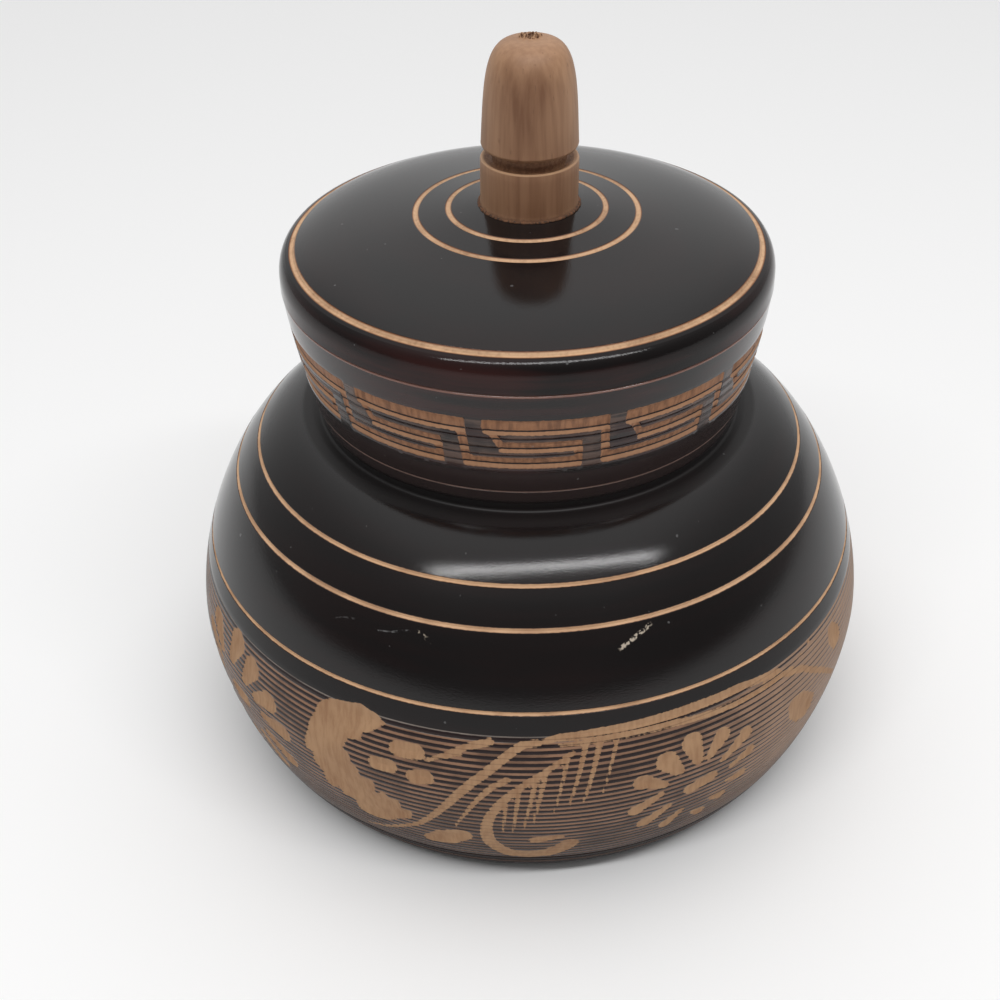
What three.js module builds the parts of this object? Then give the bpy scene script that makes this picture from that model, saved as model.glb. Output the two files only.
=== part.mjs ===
// Turned and lacquered wooden trinket box: a round-bellied jar, a lid that drops into its mouth, and a knob.
// Millimetres, +Z up. The origin is the centre of the foot, on the surface that the box stands on.
import * as THREE from "three";

// Jar, outside
const footRadius = 53;            // flat ring that the jar stands on
const bellyRadius = 65.5;         // widest turn of the belly
const bellyHeight = 30.5;         // height of the widest turn
const footFullness = 1.6;         // exponent of the curve from foot to belly, 2 being an ellipse
const shoulderRadius = 40.7;      // level ring on top of the shoulder, at the foot of the neck
const shoulderHeight = 71;
const shoulderFullness = 1.7;     // exponent of the curve from belly to shoulder
const waistRadius = 39.2;         // narrowest turn, at the foot of the neck
const coveRadius = 0.5;           // round between shoulder and neck
const mouthRadius = 44.2;         // outside of the flared neck at the mouth
const mouthHeight = 97.2;         // mouth rim, where the lid sits
const neckSwell = 0.5;            // how far the neck's middle stands proud of a straight flare

// Jar, inside and underneath
const boreRadius = 34;            // straight bore of the neck
const wall = 7;                   // wall of the belly
const floorThickness = 8;
const footRingWidth = 11;         // flat ring between the foot's edge and the hollow under it
const footHollowDepth = 1.2;      // shallow hollow turned under the foot
const edgeBreak = 0.4;            // broken edges where mouth and lid meet
const mouthChamfer = 0.8;         // broken inner corner of the mouth

// Lid
const lidRadius = 44.3;           // edge of the lid, just proud of the mouth
const lidHeight = 12.8;           // mouth rim to the flat seat of the knob
const lidEdgeHeight = 2.2;        // upright edge below the rounded corner
const lidCornerWidth = 2.1;       // how far the rounded corner reaches in
const lidTopFall = 0.135;         // fall of the top for each millimetre away from the knob
const lidRimFall = 2.4;           // further fall of the top at its rim
const lidRimFullness = 8;         // exponent of that further fall
const plugDepth = 7;              // plug under the lid that centres it in the bore
const plugClearance = 0.5;        // radial play between plug and bore
const plugChamfer = 0.6;
const plugWall = 6.5;             // ring left round the hollow under the lid
const lidHollowDepth = 8.5;

// Knob
const pegRadius = 4;              // glued peg
const pegLength = 6;
const collarRadius = 8.6;
const collarHeight = 8.7;
const collarRound = 0.8;          // round of the collar's upper edge
const neckGrooveRadius = 7.2;     // bottom of the groove between collar and head
const neckGrooveHeight = 2.8;
const headRadius = 8.5;
const headHeight = 18.4;
const headTaper = 0.85;           // how much the head narrows on its way up
const headFullness = 3.9;         // exponent of the head's rounded top

// Glued joints
const glueGap = 0.3;              // glue round the peg in its hole, and under the neck

// Scribed grooves, cut through the lacquer
const grooveDepth = 0.35;
const grooveHalfWidth = 0.45;
const shoulderGrooveDrops = [6.1, 12, 24.9];     // below the top of the shoulder
const neckGrooveRise = 5;         // above the top of the shoulder
const lidGrooveReaches = [5.3, 11.1];            // out from the knob's collar

// Fineness of the faceted surfaces
const facetsRound = 60;           // round the jar and the lid
const facetsRoundKnob = 36;
const longCurveSteps = 9;
const shortCurveSteps = 4;

const lacquer = new THREE.MeshStandardMaterial({ color: 0x141112, roughness: 0.2, metalness: 0 });
const bareWood = new THREE.MeshStandardMaterial({ color: 0xa87f5c, roughness: 0.7, metalness: 0 });

// Heights and radii that follow from the sizes above
const waistHeight = shoulderHeight + coveRadius;
const coveEdge = waistRadius + coveRadius;
const knobSeat = mouthHeight + lidHeight;
const lidTopRadius = lidRadius - lidCornerWidth;

// A point of a profile: radius from the turning axis, height above the foot.
const v = (radius, height) => new THREE.Vector2(radius, height);

// Points along a curve that is given as a function of a share from 0 to 1, both ends included.
function sample(steps, curve) {
  return Array.from({ length: steps + 1 }, (_, i) => curve(i / steps));
}

// Elliptical arc round (radius, height), from one angle to another in degrees.
function arc(radius, height, reach, rise, from, to, steps) {
  return sample(steps, (share) => {
    const angle = THREE.MathUtils.degToRad(from + (to - from) * share);
    return v(radius + reach * Math.cos(angle), height + rise * Math.sin(angle));
  });
}

// Quarter of a superellipse, from its level end out to the widest turn of the belly.
function bellyQuarter(endRadius, endHeight, fullness) {
  return sample(longCurveSteps, (share) => {
    const angle = share * Math.PI / 2;
    const out = Math.sin(angle) ** (2 / fullness);
    const away = Math.abs(Math.cos(angle)) ** (2 / fullness);
    return v(endRadius + (bellyRadius - endRadius) * out, bellyHeight + (endHeight - bellyHeight) * away);
  });
}

// An outline moved towards its left-hand side, which is the inside of the wood.
function inset(outline, distance) {
  return outline.map((point, i) => {
    const before = outline[Math.max(i - 1, 0)];
    const after = outline[Math.min(i + 1, outline.length - 1)];
    const along = after.clone().sub(before).normalize();
    return v(point.x - distance * along.y, point.y + distance * along.x);
  });
}

// Cuts a V-shaped groove into an outline where it first passes a height ("y") or a radius ("x").
function scribe(outline, axis, place) {
  const next = outline.findIndex((p, i) => i > 0 && (outline[i - 1][axis] - place) * (p[axis] - place) <= 0);
  const before = outline[next - 1];
  const after = outline[next];
  const middle = before.clone().lerp(after, (place - before[axis]) / (after[axis] - before[axis]));
  const along = after.clone().sub(before).normalize();
  const start = middle.clone().addScaledVector(along, -grooveHalfWidth);
  const end = middle.clone().addScaledVector(along, grooveHalfWidth);
  const bottom = v(middle.x - grooveDepth * along.y, middle.y + grooveDepth * along.x);
  const clear = (point) => point.distanceTo(middle) > 1.5 * grooveHalfWidth;
  return [...outline.slice(0, next).filter(clear), start, bottom, end, ...outline.slice(next).filter(clear)];
}

// Turns a closed profile round the vertical axis.
function turned(name, profile, material, facets) {
  const geometry = new THREE.LatheGeometry(profile, facets);
  geometry.rotateX(Math.PI / 2);
  const mesh = new THREE.Mesh(geometry, material);
  mesh.name = name;
  return mesh;
}

function bodyProfile() {
  const lower = bellyQuarter(footRadius, 0, footFullness);
  const upper = bellyQuarter(shoulderRadius, shoulderHeight, shoulderFullness).reverse();
  const belly = [...lower, ...upper.slice(1)];
  let outside = belly;
  for (const drop of shoulderGrooveDrops) {
    outside = scribe(outside, "y", shoulderHeight - drop);
  }
  const cavity = inset(belly, wall).filter((p) => p.x > boreRadius && p.y > floorThickness).reverse();
  const hollowEdge = footRadius - footRingWidth;
  return [
    v(0, footHollowDepth), v(hollowEdge - footHollowDepth, footHollowDepth), v(hollowEdge, 0),
    ...outside, v(coveEdge, shoulderHeight),
    v(coveEdge, shoulderHeight - glueGap), v(boreRadius, shoulderHeight - glueGap),
    v(boreRadius, cavity[0].y), ...cavity,
    v(cavity.at(-1).x, floorThickness), v(0, floorThickness),
  ];
}

// The neck, a ring that stands on the shoulder with a glue line under it.
function neckProfile() {
  const cove = arc(coveEdge, waistHeight, coveRadius, coveRadius, -90, -180, shortCurveSteps);
  const flare = sample(shortCurveSteps, (share) => v(
    waistRadius + (mouthRadius - waistRadius) * share + 4 * neckSwell * share * (1 - share),
    waistHeight + (mouthHeight - edgeBreak - waistHeight) * share));
  const outside = scribe([...cove.slice(1), ...flare.slice(1)], "y", shoulderHeight + neckGrooveRise);
  return [
    v(boreRadius, shoulderHeight), v(coveEdge - glueGap, shoulderHeight),
    ...outside, v(mouthRadius - edgeBreak, mouthHeight),
    v(boreRadius + mouthChamfer, mouthHeight), v(boreRadius, mouthHeight - mouthChamfer),
    v(boreRadius, shoulderHeight),
  ];
}

function lidProfile() {
  const topAt = (radius) => knobSeat - lidTopFall * (radius - collarRadius)
    - lidRimFall * (radius / lidTopRadius) ** lidRimFullness;
  const cornerFoot = mouthHeight + lidEdgeHeight;
  const corner = arc(lidTopRadius, cornerFoot, lidCornerWidth, topAt(lidTopRadius) - cornerFoot, 0, 90,
    shortCurveSteps);
  const top = sample(longCurveSteps, (share) => lidTopRadius + (collarRadius - lidTopRadius) * share)
    .map((radius) => v(radius, topAt(radius)));
  let outside = [...corner, ...top.slice(1)];
  outside = scribe(outside, "x", lidTopRadius - grooveHalfWidth);
  for (const reach of lidGrooveReaches) {
    outside = scribe(outside, "x", collarRadius + reach);
  }
  const plugRadius = boreRadius - plugClearance;
  const plugFoot = mouthHeight - plugDepth;
  const hole = pegRadius + glueGap;
  const holeFloor = knobSeat - pegLength - glueGap;
  return [
    v(0, plugFoot + lidHollowDepth), v(plugRadius - plugWall, plugFoot + lidHollowDepth),
    v(plugRadius - plugWall, plugFoot), v(plugRadius - plugChamfer, plugFoot),
    v(plugRadius, plugFoot + plugChamfer), v(plugRadius, mouthHeight),
    v(lidRadius - edgeBreak, mouthHeight), v(lidRadius, mouthHeight + edgeBreak),
    ...outside, v(hole, knobSeat), v(hole, holeFloor), v(0, holeFloor),
  ];
}

function knobProfile() {
  const collarTop = knobSeat + collarHeight;
  const headFoot = collarTop + neckGrooveHeight;
  const head = sample(longCurveSteps, (share) => {
    const angle = share * Math.PI / 2;
    const height = Math.sin(angle) ** (2 / headFullness);
    const radius = (headRadius - headTaper * height) * Math.abs(Math.cos(angle)) ** (2 / headFullness);
    return v(radius, headFoot + headHeight * height);
  });
  return [
    v(0, knobSeat - pegLength), v(pegRadius, knobSeat - pegLength), v(pegRadius, knobSeat),
    v(collarRadius, knobSeat),
    ...arc(collarRadius - collarRound, collarTop - collarRound, collarRound, collarRound, 0, 90, shortCurveSteps),
    v(neckGrooveRadius, collarTop), v(neckGrooveRadius, headFoot),
    ...head.slice(0, -1), v(0, headFoot + headHeight),
  ];
}

const box = new THREE.Group();
box.add(turned("jar_body", bodyProfile(), lacquer, facetsRound));
box.add(turned("jar_neck", neckProfile(), lacquer, facetsRound));
box.add(turned("lid", lidProfile(), lacquer, facetsRound));
box.add(turned("knob", knobProfile(), bareWood, facetsRoundKnob));

export default box;
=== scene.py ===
"""Looks of the turned, lacquered and carved trinket box, with its floor, lamps and camera."""

import math

import bpy
import numpy as np
from mathutils import Matrix, Vector


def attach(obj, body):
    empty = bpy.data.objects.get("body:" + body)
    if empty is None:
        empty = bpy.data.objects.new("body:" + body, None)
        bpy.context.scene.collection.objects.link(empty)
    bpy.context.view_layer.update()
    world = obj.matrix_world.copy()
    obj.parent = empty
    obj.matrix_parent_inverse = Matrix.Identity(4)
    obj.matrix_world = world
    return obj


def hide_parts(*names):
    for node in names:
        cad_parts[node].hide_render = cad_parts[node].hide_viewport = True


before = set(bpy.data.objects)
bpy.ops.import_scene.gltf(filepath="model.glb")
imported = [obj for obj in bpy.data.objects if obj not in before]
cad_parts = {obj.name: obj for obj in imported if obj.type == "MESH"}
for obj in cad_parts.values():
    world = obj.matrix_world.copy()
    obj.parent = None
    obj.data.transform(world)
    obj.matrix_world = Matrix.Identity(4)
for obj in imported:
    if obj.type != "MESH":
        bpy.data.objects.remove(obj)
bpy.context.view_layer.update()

MM = 0.001

# Jar, outside, as in its solid, with the belly's widest turn at BELLY_REACH along the outline
FOOT_RADIUS = 53
BELLY_RADIUS = 65.5
BELLY_HEIGHT = 30.5
FOOT_FULLNESS = 1.6
BELLY_REACH = 42.03
SHOULDER_RADIUS = 40.7
SHOULDER_HEIGHT = 71
SHOULDER_FULLNESS = 1.7
WAIST_RADIUS = 39.2
COVE_RADIUS = 0.5
MOUTH_RADIUS = 44.2
MOUTH_HEIGHT = 97.2
NECK_SWELL = 0.5
EDGE_BREAK = 0.18

# Jar, inside and underneath
BORE_RADIUS = 34
WALL = 7
FLOOR_THICKNESS = 8
FOOT_RING_WIDTH = 11
FOOT_HOLLOW_DEPTH = 1.2
MOUTH_CHAMFER = 0.8

# Lid
LID_RADIUS = 44.3
LID_HEIGHT = 12.8
LID_EDGE_HEIGHT = 2.2
LID_CORNER_WIDTH = 2.1
LID_TOP_FALL = 0.135
LID_RIM_FALL = 2.4
LID_RIM_FULLNESS = 8
PLUG_DEPTH = 7
PLUG_CLEARANCE = 0.5
PLUG_WALL = 6.5
LID_HOLLOW_DEPTH = 8.5

# Knob
PEG_RADIUS = 4
PEG_LENGTH = 6
GLUE_GAP = 0.3
COLLAR_RADIUS = 8.6
COLLAR_HEIGHT = 8.7
COLLAR_DISH = [(7.9, 0.1), (7.4, 0.35), (6.9, 0.5)]
NECK_GROOVE_RADIUS = 6.5
NECK_GROOVE_HEIGHT = 2.0
HEAD_RADIUS = 8.5
HEAD_ROUND = 0.8
HEAD_HEIGHT = 18.5
HEAD_TAPER = 0.85
HEAD_FULLNESS = 4.4
KNOB_SHIFT = 0.4
KNOB_LEAN = 0.0175
FIBRE_COUNT = 26
FIBRE_SPREAD = 1.9
FIBRE_TURN = 2.4
BEAD_RADIUS = COLLAR_RADIUS + 0.12
BEAD_THICKNESS = 0.3
BEAD_LIFT = 0.02

KNOB_SEAT = MOUTH_HEIGHT + LID_HEIGHT
WAIST_HEIGHT = SHOULDER_HEIGHT + COVE_RADIUS
LID_TOP_RADIUS = LID_RADIUS - LID_CORNER_WIDTH

# Scribed rings: the place and the half width of each, in millimetres
SHOULDER_RINGS = [(64.8, 0.45), (59.0, 0.5), (46.1, 0.42)]
NECK_RING = (76.0, 0.2)
LID_RINGS = [(13.9, 0.6), (19.7, 0.62), (41.75, 0.72)]
RING_DEPTH = 0.3

# Striped band: lathe lines a pitch apart along the belly's curve
STRIPE_PITCH = 1.25
STRIPE_DEPTH = 0.09
BAND_FOOT = 13.75
BLACK_FOOT = 18.8
FOOT_LINE = 15.7
BAND_TOP = 53.75
FINE_TOP = 56.25
COARSE_ROW = 2 * STRIPE_PITCH
CUTS = 3

# Heights of the fretted band's lathe lines, the rows of its coarse net
FRET_ROWS = [80.6, 82.6, 84.4, 86.0, 88.0, 89.8, 91.3, 92.9]
FRET_LINES = [82.6, 84.4, 86.0, 88.0, 89.8]
FRET_BAR_LINES = [82.6, 86.0, 89.8]
FRET_LINE_DEPTH = 0.14
FRET_DEPTH = 0.22
FRET_PITCH = 31.6

TURN_STEPS = 180
LID_STEPS = 240
KNOB_STEPS = 96
BEAD_STEPS = 160
SAME_POINT = 0.02
FRET_GIRTH_RADIUS = 41.5

# What the net keeps for points that aren't on the outside, or aren't near a cut
INSIDE = -100.0
NOT_CARVED = 9.0


def quarter(end_radius, end_height, fullness, steps):
    """Quarter of a superellipse, from its level end out to the widest turn of the belly."""
    angle = np.linspace(0, math.pi / 2, steps)
    out = np.sin(angle) ** (2 / fullness)
    away = np.abs(np.cos(angle)) ** (2 / fullness)
    return np.column_stack([
        end_radius + (BELLY_RADIUS - end_radius) * out,
        BELLY_HEIGHT + (end_height - BELLY_HEIGHT) * away,
    ])


def arc(radius, height, reach, rise, start, end, steps):
    """Elliptical arc round a point of the profile, from one angle to another in degrees."""
    angle = np.radians(np.linspace(start, end, steps))
    return np.column_stack([radius + reach * np.cos(angle), height + rise * np.sin(angle)])


class Outline:
    """The smooth outside of a turned piece, which is followed by the distance along it in millimetres."""

    def __init__(self, points, start=0.0):
        keep = np.append(True, np.hypot(*np.diff(points, axis=0).T) > 1e-7)
        self.points = points[keep]
        steps = np.hypot(*np.diff(self.points, axis=0).T)
        self.reach = start + np.concatenate([[0], np.cumsum(steps)])

    def end(self):
        return self.reach[-1]

    def at(self, reach, depth=0.0):
        """Radius and height at a reach, sunk below the surface by a depth."""
        radius = np.interp(reach, self.reach, self.points[:, 0])
        height = np.interp(reach, self.reach, self.points[:, 1])
        if np.any(depth):
            half = 0.05
            along = np.stack([
                np.interp(reach + half, self.reach, self.points[:, 0])
                - np.interp(reach - half, self.reach, self.points[:, 0]),
                np.interp(reach + half, self.reach, self.points[:, 1])
                - np.interp(reach - half, self.reach, self.points[:, 1]),
            ])
            along = along / np.hypot(*along)
            radius = radius - depth * along[1]
            height = height + depth * along[0]
        return radius, height

    def is_outer(self, radius, height):
        """Whether points lie nearer the outside than the middle of the wall."""
        return radius > np.interp(height, self.points[:, 1], self.points[:, 0]) - WALL / 2

    def where(self, column, value, start=0.0, end=1e9):
        """Reach at which the outline first passes a radius (column 0) or a height (column 1)."""
        inside = (self.reach >= start) & (self.reach <= end)
        values = self.points[inside, column] - value
        crossing = int(np.argmax(values[:-1] * values[1:] <= 0))
        share = values[crossing] / (values[crossing] - values[crossing + 1])
        reach = self.reach[inside]
        return reach[crossing] + share * (reach[crossing + 1] - reach[crossing])


def jar_outline():
    lower = quarter(FOOT_RADIUS, 0, FOOT_FULLNESS, 400)
    upper = quarter(SHOULDER_RADIUS, SHOULDER_HEIGHT, SHOULDER_FULLNESS, 500)[::-1]
    share = np.linspace(0, 1, 40)
    cove = arc(WAIST_RADIUS + COVE_RADIUS, WAIST_HEIGHT, COVE_RADIUS, COVE_RADIUS, -90, -180, 60)
    neck = np.column_stack([
        WAIST_RADIUS + (MOUTH_RADIUS - WAIST_RADIUS) * share + 4 * NECK_SWELL * share * (1 - share),
        WAIST_HEIGHT + (MOUTH_HEIGHT - EDGE_BREAK - WAIST_HEIGHT) * share,
    ])
    foot_to_belly = np.hypot(*np.diff(lower, axis=0).T).sum()
    return Outline(np.vstack([lower, upper, cove, neck]), BELLY_REACH - foot_to_belly)


def lid_top(radius):
    rim = LID_RIM_FALL * (radius / LID_TOP_RADIUS) ** LID_RIM_FULLNESS
    return KNOB_SEAT - LID_TOP_FALL * (radius - COLLAR_RADIUS) - rim


def lid_outline():
    foot = MOUTH_HEIGHT + LID_EDGE_HEIGHT
    edge = np.array([[LID_RADIUS, MOUTH_HEIGHT + EDGE_BREAK], [LID_RADIUS, foot]])
    corner = arc(LID_TOP_RADIUS, foot, LID_CORNER_WIDTH, lid_top(LID_TOP_RADIUS) - foot, 0, 90, 60)
    radius = np.linspace(LID_TOP_RADIUS, PEG_RADIUS + GLUE_GAP, 400)
    return Outline(np.vstack([edge, corner, np.column_stack([radius, lid_top(radius)])]))


def ring_rows(rows, rings):
    """Rows of a profile as {reach: depth}, with a V-shaped groove cut at each ring."""
    cut = {}
    for place, half_width in rings:
        rows = [reach for reach in rows if abs(reach - place) > 1.6 * half_width]
        cut.update({place - half_width: 0.0, place: RING_DEPTH, place + half_width: 0.0})
    cut.update({reach: 0.0 for reach in rows})
    return dict(sorted(cut.items()))


def spread(start, end, step):
    """Even rows from one reach to another, no more than a step apart, without the last."""
    count = max(1, math.ceil((end - start) / step))
    return list(np.linspace(start, end, count + 1)[:-1])


def turn(name, profile, steps):
    """Turns a profile, given as (radius, height) in millimetres from pole to pole, into one piece."""
    bpy.ops.object.select_all(action="DESELECT")
    bpy.ops.mesh.primitive_plane_add(size=MM)
    piece = bpy.context.object
    piece.name = name
    piece.data.name = name
    bpy.ops.object.mode_set(mode="EDIT")
    bpy.ops.mesh.select_mode(type="VERT")
    bpy.ops.mesh.select_all(action="SELECT")
    bpy.ops.mesh.merge(type="CENTER")
    points = [Vector((radius * MM, 0, height * MM)) for radius, height in profile]
    bpy.ops.transform.translate(value=points[0])
    for before, after in zip(points, points[1:]):
        bpy.ops.mesh.extrude_region_move(TRANSFORM_OT_translate={"value": after - before})
    bpy.ops.mesh.select_all(action="SELECT")
    bpy.ops.mesh.spin(steps=steps, angle=math.tau, center=(0, 0, 0), axis=(0, 0, 1))
    bpy.ops.mesh.select_all(action="SELECT")
    bpy.ops.mesh.remove_doubles(threshold=2e-6)
    bpy.ops.mesh.normals_make_consistent(inside=False)
    bpy.ops.object.mode_set(mode="OBJECT")
    return piece


def corners(piece):
    """The piece's points in millimetres, as an array."""
    flat = np.empty(len(piece.data.vertices) * 3)
    piece.data.vertices.foreach_get("co", flat)
    return flat.reshape(-1, 3) / MM


def move_corners(piece, points):
    piece.data.vertices.foreach_set("co", (points * MM).ravel())
    piece.data.update()


def face_middles(piece):
    """Radius and height of the middle of each face, in millimetres."""
    flat = np.empty(len(piece.data.polygons) * 3)
    piece.data.polygons.foreach_get("center", flat)
    middle = flat.reshape(-1, 3) / MM
    return np.hypot(middle[:, 0], middle[:, 1]), middle[:, 2]


def refine(piece, low, high, outline):
    """Splits the outer faces between two heights into a finer net."""
    radius, height = face_middles(piece)
    chosen = (height > low) & (height < high) & outline.is_outer(radius, height)
    mesh = piece.data
    mesh.vertices.foreach_set("select", np.zeros(len(mesh.vertices), bool))
    mesh.edges.foreach_set("select", np.zeros(len(mesh.edges), bool))
    mesh.polygons.foreach_set("select", chosen)
    bpy.context.tool_settings.mesh_select_mode = (False, False, True)
    bpy.ops.object.mode_set(mode="EDIT")
    bpy.ops.mesh.subdivide(number_cuts=CUTS)
    bpy.ops.object.mode_set(mode="OBJECT")


def nearest_row(radius, height, outside):
    """The row of the outside that each point came from, and whether it is on the outside at all."""
    spots = np.array(outside)
    gap = np.hypot(radius[:, None] - spots[:, 0], height[:, None] - spots[:, 1])
    return gap.argmin(1), gap.min(1) < SAME_POINT


def pick(piece):
    """Makes a piece the only one chosen."""
    bpy.ops.object.select_all(action="DESELECT")
    piece.select_set(True)
    bpy.context.view_layer.objects.active = piece


def keep_attribute(piece, name, values):
    """Stores a number for each point of a piece, for its finish to read."""
    piece.data.attributes.new(name, "FLOAT", "POINT").data.foreach_set("value", values.astype(np.float32))


def smooth(piece, degrees):
    pick(piece)
    bpy.ops.object.shade_smooth_by_angle(angle=math.radians(degrees))


def eased(value, low, high):
    """Smooth step from 0 at the low value to 1 at the high one."""
    share = np.clip((value - low) / (high - low), 0, 1)
    return share * share * (3 - 2 * share)


class Carving:
    """Signed distance, in millimetres, to what is carved into an outside that is known by angle and reach."""

    def __init__(self, angle, reach, outline):
        self.angle = angle
        self.reach = reach
        self.outline = outline
        self.distance = np.full(len(angle), NOT_CARVED)
        self.shallow = np.zeros(len(angle))

    def take(self, distance, shallow):
        nearer = distance < self.distance
        self.distance[nearer] = distance[nearer]
        self.shallow[nearer] = shallow

    def flat(self, points):
        """Points of a shape, and all points of the net, in millimetres on the unrolled surface."""
        points = np.array(points, float)
        start = points[0, 0]
        girth = self.outline.at(points[:, 1].mean())[0]
        shape = np.column_stack([np.radians(points[:, 0] - start) * girth, points[:, 1]])
        away = (self.angle - start + 180) % 360 - 180
        return shape, np.radians(away) * girth, self.reach

    def stroke(self, points, widths, shallow=0.0, turned=0.0):
        """A gouge stroke through points of (angle, reach), round at both ends, with its widths."""
        shape, across, along = self.flat([(angle + turned, reach) for angle, reach in points])
        half = np.interp(np.linspace(0, 1, len(shape)), np.linspace(0, 1, len(widths)), widths) / 2
        best = np.full(len(across), NOT_CARVED)
        for i in range(len(shape) - 1):
            step = shape[i + 1] - shape[i]
            length = float(step @ step)
            near_across = across - shape[i, 0]
            near_along = along - shape[i, 1]
            share = np.clip((near_across * step[0] + near_along * step[1]) / length, 0, 1)
            gap = np.hypot(near_across - share * step[0], near_along - share * step[1])
            best = np.minimum(best, gap - (half[i] + share * (half[i + 1] - half[i])))
        self.take(best, shallow)

    def petal(self, base, tip, width, turned=0.0):
        """A petal that swells from a narrow base to a round tip."""
        base = np.array(base, float)
        tip = np.array(tip, float)
        girth = self.outline.at(base[1])[0] * math.radians(1)
        length = math.hypot((tip[0] - base[0]) * girth, tip[1] - base[1])
        start = base + (tip - base) * min(0.25 * width / length, 0.4)
        end = tip - (tip - base) * min(0.5 * width / length, 0.5)
        self.stroke([start, end], [0.5 * width, 0.92 * width, width], turned=turned)

    def patch(self, points, turned=0.0):
        """A cut that fills a closed outline of points of (angle, reach)."""
        shape, across, along = self.flat([(angle + turned, reach) for angle, reach in points])
        nearest = np.full(len(across), NOT_CARVED)
        inside = np.zeros(len(across), bool)
        for start, end in zip(shape, np.roll(shape, -1, axis=0)):
            step = end - start
            run = (across - start[0]) * step[0] + (along - start[1]) * step[1]
            share = np.clip(run / (step @ step), 0, 1)
            gap = np.hypot(across - start[0] - share * step[0], along - start[1] - share * step[1])
            nearest = np.minimum(nearest, gap)
            crosses = (start[1] > along) != (end[1] > along)
            rise = step[1] if step[1] else 1.0
            inside ^= crosses & (across < start[0] + (along - start[1]) * step[0] / rise)
        self.take(np.where(inside, -nearest, nearest), 0.0)

    def bar(self, left, right, low, high, angle):
        """A straight bar of the fret between two angles and two heights, from its left end."""
        girth = FRET_GIRTH_RADIUS * math.radians(1)
        away = (self.angle - angle + 180) % 360 - 180
        across = np.abs(away - (left + right) / 2) * girth - (right - left) / 2 * girth
        height = self.outline.at(self.reach)[1]
        up = np.abs(height - (low + high) / 2) - (high - low) / 2
        self.take(np.maximum(across, up), 0.0)


# The carved groups, each stroke by (angle to the right of the front, reach up the belly's curve)
DAISY_PETALS = [
    ((25.9, 41.5), (24.0, 49.2), 4.3), ((27.1, 41.7), (31.0, 47.4), 3.6), ((29.9, 39.6), (35.8, 44.8), 3.1),
    ((32.0, 36.5), (37.1, 39.2), 2.7), ((32.0, 32.6), (36.8, 32.0), 2.6), ((29.6, 28.7), (33.4, 27.4), 2.8),
    ((26.6, 26.2), (29.7, 24.0), 2.8), ((23.0, 40.6), (19.0, 46.6), 4.4), ((20.7, 38.7), (14.8, 42.2), 3.7),
    ((20.2, 37.0), (14.5, 32.6), 3.0), ((22.0, 32.5), (16.6, 27.2), 3.2), ((24.7, 29.2), (21.2, 23.9), 2.8),
]
DAISY_EYE = ((25.0, 35.3), (28.6, 36.4), 3.1)
FEATHER_STEM = [
    (5.4, 50.3), (1.5, 46.9), (-1.4, 44.5), (-4.0, 41.7), (-5.9, 38.8), (-7.4, 35.1), (-8.1, 31.8),
    (-8.2, 28.7), (-7.8, 25.9), (-6.5, 23.4), (-4.7, 21.2), (-1.6, 20.4), (1.7, 21.2), (4.0, 23.3),
    (5.3, 25.2),
]
FEATHER_WIDTHS = [1.1, 1.3, 1.6, 2.0, 2.5, 3.0, 3.3, 3.6, 3.6]
FRONDS = [
    ((-4.9, 38.8), (-5.5, 30.2), 0.9), ((-2.9, 42.0), (-3.9, 30.2), 1.0), ((-0.3, 44.7), (-2.3, 31.1), 1.0),
    ((1.2, 46.3), (-0.7, 33.1), 1.0), ((4.6, 49.4), (2.5, 36.5), 0.9), ((7.5, 52.2), (4.7, 37.9), 1.1),
    ((9.7, 52.4), (7.0, 39.0), 1.2), ((12.4, 52.6), (9.9, 40.6), 0.9), ((-0.4, 27.2), (4.0, 28.2), 2.4),
]
LEAF_LINE = [
    (-30.6, 21.2), (-26.5, 23.0), (-23.0, 25.8), (-19.5, 28.7), (-16.2, 33.6), (-14.3, 36.8), (-12.8, 39.4),
    (-11.4, 41.7), (-9.8, 43.9), (-7.7, 46.3), (-6.3, 48.0), (-4.8, 49.7), (-3.4, 51.2), (-2.2, 52.2),
    (0.1, 52.6),
]
SIDE_STROKE = [(-13.3, 30.4), (-11.7, 34.2), (-10.0, 38.1), (-8.5, 40.8), (-7.0, 43.0), (-4.5, 45.0)]
ALMOND = [(-18.0, 23.7), (-15.2, 25.4), (-12.4, 27.4)]
TOP_STROKE = [(-16.8, 47.2), (-13.3, 49.6), (-10.4, 51.4), (-7.2, 52.6)]
TOP_BRANCH = [(-14.8, 48.5), (-11.4, 49.6)]
BERRIES = [
    ((-21.6, 48.2), (-18.7, 48.4), 3.5), ((-25.4, 43.7), (-23.0, 43.9), 3.1),
    ((-18.9, 42.9), (-17.2, 43.3), 3.4),
]
CRESCENT_BODY = [
    (-23.6, 52.6), (-25.3, 53.9), (-28.3, 54.9), (-31.5, 54.1), (-34.2, 53.5), (-36.1, 51.8), (-36.9, 49.4),
    (-38.0, 46.8), (-38.4, 44.4), (-39.3, 41.5), (-39.1, 39.2), (-37.7, 39.4), (-38.1, 37.0), (-36.7, 34.7),
    (-36.6, 31.6), (-35.5, 30.5), (-33.8, 31.8), (-33.4, 29.6), (-31.2, 30.0), (-31.0, 26.6), (-29.1, 25.6),
    (-27.1, 25.7), (-25.0, 26.5), (-22.8, 28.7), (-20.7, 29.7), (-20.2, 32.6), (-22.0, 32.6), (-22.1, 35.1),
    (-23.9, 35.0), (-24.8, 36.5), (-26.3, 35.0), (-26.0, 38.1), (-26.8, 38.8), (-28.7, 38.8), (-28.7, 40.4),
    (-30.0, 42.0), (-30.1, 43.5), (-31.3, 44.2), (-30.4, 46.6), (-27.7, 47.8), (-27.9, 49.0), (-26.1, 50.1),
]
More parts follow.
